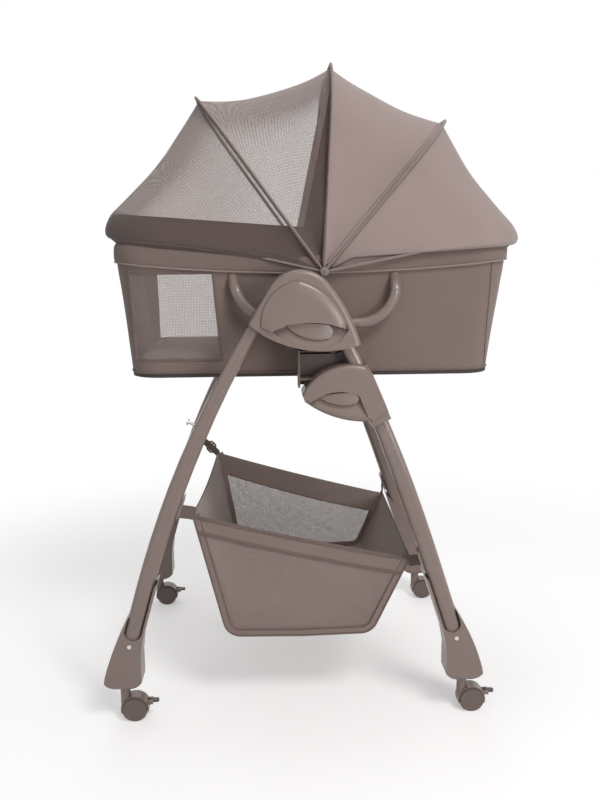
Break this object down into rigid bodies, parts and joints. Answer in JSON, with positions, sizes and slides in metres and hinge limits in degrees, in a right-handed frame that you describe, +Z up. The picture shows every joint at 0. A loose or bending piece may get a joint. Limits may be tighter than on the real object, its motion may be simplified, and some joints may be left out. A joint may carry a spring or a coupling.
{
  "type": "bassinet on stand",
  "caption": "Fabric bassinet with mesh windows and a folding hooped canopy, docked on an A-frame tube stand with casters and a hung storage basket.",
  "frame": {"origin": "on the floor, under the middle of the bassinet", "axes": "+X along the bassinet towards the opaque hood end, +Y across it from the near side to the far side, +Z up"},
  "size_m": [0.85, 0.6286, 1.2896],
  "materials": {
    "moulded_shell": "satin, warm taupe brown moulding",
    "painted_tube": "powder-coated steel tube, warm taupe",
    "wheel_tread": "matt brown caster wheel",
    "dark_moulding": "dark brown moulding",
    "bright_metal": "plain steel rivets and pins",
    "wall_cloth": "plain-weave polyester, taupe brown",
    "canopy_cloth": "plain-weave polyester, taupe brown",
    "net": "open polyester mesh, taupe",
    "mattress_cloth": "brushed jersey, taupe",
    "basket_cloth": "polyester with mesh panels, taupe",
    "board": "dark base board",
    "hoop_sleeve": "wire hoop in a cloth sleeve"
  },
  "bodies": {
    "stand": {"near_hub_shell": "moulded_shell", "far_hub_shell": "moulded_shell", "near_hub_cover": "moulded_shell", "far_hub_cover": "moulded_shell", "lock_housings": "moulded_shell", "carriages": "dark_moulding", "cross_beam": "painted_tube", "stand_fixings": "bright_metal", "near_right_leg": "painted_tube", "far_right_leg": "painted_tube", "right_shoes": "moulded_shell", "right_clips": "moulded_shell", "basket": "basket_cloth"},
    "near_left_side": {"near_left_leg": "painted_tube", "near_left_knuckle": "moulded_shell", "near_left_shoe": "moulded_shell", "near_left_screw": "bright_metal", "near_left_clip": "moulded_shell", "near_left_strap": "basket_cloth", "near_left_catch": "bright_metal"},
    "far_left_side": {"far_left_leg": "painted_tube", "far_left_knuckle": "moulded_shell", "far_left_shoe": "moulded_shell", "far_left_screw": "bright_metal", "far_left_clip": "moulded_shell", "far_left_strap": "basket_cloth"},
    "bassinet": {"rim_frame": "painted_tube", "rim_band": "wall_cloth", "side_brackets": "painted_tube", "dock_tongues": "dark_moulding", "tub": "wall_cloth", "mesh_windows": "net", "base_board": "board", "mattress": "mattress_cloth", "canopy_pivots": "dark_moulding", "hoop_5": "hoop_sleeve"},
    "hoop_four": {"hoop_4": "hoop_sleeve", "hood_panel_right": "canopy_cloth"},
    "hoop_three": {"hoop_3": "hoop_sleeve", "hood_panel_left": "canopy_cloth"},
    "hoop_two": {"hoop_2": "hoop_sleeve", "mesh_panel_right": "net"},
    "hoop_one": {"hoop_1": "hoop_sleeve", "mesh_panel_left": "net"},
    "near_release_button": {"near_release_button": "moulded_shell"},
    "near_fold_button": {"near_fold_button": "moulded_shell"},
    "far_release_button": {"far_release_button": "moulded_shell"},
    "far_fold_button": {"far_fold_button": "moulded_shell"},
    "near_left_caster": {"near_left_fork": "moulded_shell"},
    "near_left_wheel_pair": {"near_left_wheels": "wheel_tread"},
    "near_left_lever": {"near_left_brake": "moulded_shell"},
    "far_left_caster": {"far_left_fork": "moulded_shell"},
    "far_left_wheel_pair": {"far_left_wheels": "wheel_tread"},
    "far_left_lever": {"far_left_brake": "moulded_shell"},
    "near_right_caster": {"near_right_fork": "moulded_shell"},
    "near_right_wheel_pair": {"near_right_wheels": "wheel_tread"},
    "near_right_lever": {"near_right_brake": "moulded_shell"},
    "far_right_caster": {"far_right_fork": "moulded_shell"},
    "far_right_wheel_pair": {"far_right_wheels": "wheel_tread"},
    "far_right_lever": {"far_right_brake": "moulded_shell"}
  },
  "joints": [
    {"name": "near_fold", "type": "hinge", "parent": "stand", "child": "near_left_side", "pos_m": [-0.076, -0.27, 0.834], "axis": [0, -1, 0], "range_deg": [0, 38]},
    {"name": "far_fold", "type": "hinge", "parent": "stand", "child": "far_left_side", "pos_m": [-0.076, 0.27, 0.834], "axis": [0, -1, 0], "range_deg": [0, 38]},
    {"name": "near_release_press", "type": "slide", "parent": "stand", "child": "near_release_button", "axis": [0, 1, 0], "range_m": [0, 0.004], "stiffness_N_per_m": 300, "springref_m": -0.001},
    {"name": "near_fold_press", "type": "slide", "parent": "stand", "child": "near_fold_button", "axis": [0, 1, 0], "range_m": [0, 0.004], "stiffness_N_per_m": 300, "springref_m": -0.001},
    {"name": "far_release_press", "type": "slide", "parent": "stand", "child": "far_release_button", "axis": [0, -1, 0], "range_m": [0, 0.004], "stiffness_N_per_m": 300, "springref_m": -0.001},
    {"name": "far_fold_press", "type": "slide", "parent": "stand", "child": "far_fold_button", "axis": [0, -1, 0], "range_m": [0, 0.004], "stiffness_N_per_m": 300, "springref_m": -0.001},
    {"name": "near_left_swivel", "type": "hinge", "parent": "near_left_side", "child": "near_left_caster", "pos_m": [-0.389, -0.27, 0.08], "axis": [0, 0, 1], "continuous": true},
    {"name": "near_left_roll", "type": "hinge", "parent": "near_left_caster", "child": "near_left_wheel_pair", "pos_m": [-0.37, -0.27, 0.025], "axis": [0, 1, 0], "continuous": true},
    {"name": "near_left_brake_press", "type": "hinge", "parent": "near_left_caster", "child": "near_left_lever", "pos_m": [-0.337, -0.27, 0.036], "axis": [0, 1, 0], "range_deg": [0, 20]},
    {"name": "far_left_swivel", "type": "hinge", "parent": "far_left_side", "child": "far_left_caster", "pos_m": [-0.389, 0.27, 0.08], "axis": [0, 0, 1], "continuous": true},
    {"name": "far_left_roll", "type": "hinge", "parent": "far_left_caster", "child": "far_left_wheel_pair", "pos_m": [-0.37, 0.27, 0.025], "axis": [0, 1, 0], "continuous": true},
    {"name": "far_left_brake_press", "type": "hinge", "parent": "far_left_caster", "child": "far_left_lever", "pos_m": [-0.337, 0.27, 0.036], "axis": [0, 1, 0], "range_deg": [0, 20]},
    {"name": "near_right_swivel", "type": "hinge", "parent": "stand", "child": "near_right_caster", "pos_m": [0.295, -0.27, 0.08], "axis": [0, 0, 1], "continuous": true},
    {"name": "near_right_roll", "type": "hinge", "parent": "near_right_caster", "child": "near_right_wheel_pair", "pos_m": [0.314, -0.27, 0.025], "axis": [0, 1, 0], "continuous": true},
    {"name": "near_right_brake_press", "type": "hinge", "parent": "near_right_caster", "child": "near_right_lever", "pos_m": [0.347, -0.27, 0.036], "axis": [0, 1, 0], "range_deg": [0, 20]},
    {"name": "far_right_swivel", "type": "hinge", "parent": "stand", "child": "far_right_caster", "pos_m": [0.295, 0.27, 0.08], "axis": [0, 0, 1], "continuous": true},
    {"name": "far_right_roll", "type": "hinge", "parent": "far_right_caster", "child": "far_right_wheel_pair", "pos_m": [0.314, 0.27, 0.025], "axis": [0, 1, 0], "continuous": true},
    {"name": "far_right_brake_press", "type": "hinge", "parent": "far_right_caster", "child": "far_right_lever", "pos_m": [0.347, 0.27, 0.036], "axis": [0, 1, 0], "range_deg": [0, 20]},
    {"name": "bassinet_lift", "type": "slide", "parent": "stand", "child": "bassinet", "axis": [0, 0, 1], "range_m": [0, 0.15]},
    {"name": "canopy_fold", "type": "hinge", "parent": "bassinet", "child": "hoop_four", "pos_m": [0.019, 0, 0.89], "axis": [0, 1, 0], "range_deg": [0, 32], "deforming": ["hood_panel_right"]},
    {"name": "canopy_fold_3", "type": "hinge", "parent": "hoop_four", "child": "hoop_three", "pos_m": [0.019, 0, 0.89], "axis": [0, 1, 0], "range_deg": [0, 31], "deforming": ["hood_panel_left"]},
    {"name": "canopy_fold_2", "type": "hinge", "parent": "hoop_three", "child": "hoop_two", "pos_m": [0.019, 0, 0.89], "axis": [0, 1, 0], "range_deg": [0, 32], "deforming": ["mesh_panel_right"]},
    {"name": "canopy_fold_1", "type": "hinge", "parent": "hoop_two", "child": "hoop_one", "pos_m": [0.019, 0, 0.89], "axis": [0, 1, 0], "range_deg": [0, 34], "deforming": ["mesh_panel_left"]}
  ],
  "couplings": [
    {"joint": "far_fold", "follows": "near_fold", "ratio": 1},
    {"joint": "canopy_fold_3", "follows": "canopy_fold", "ratio": 0.96875},
    {"joint": "canopy_fold_2", "follows": "canopy_fold", "ratio": 1},
    {"joint": "canopy_fold_1", "follows": "canopy_fold", "ratio": 1.0625}
  ]
}
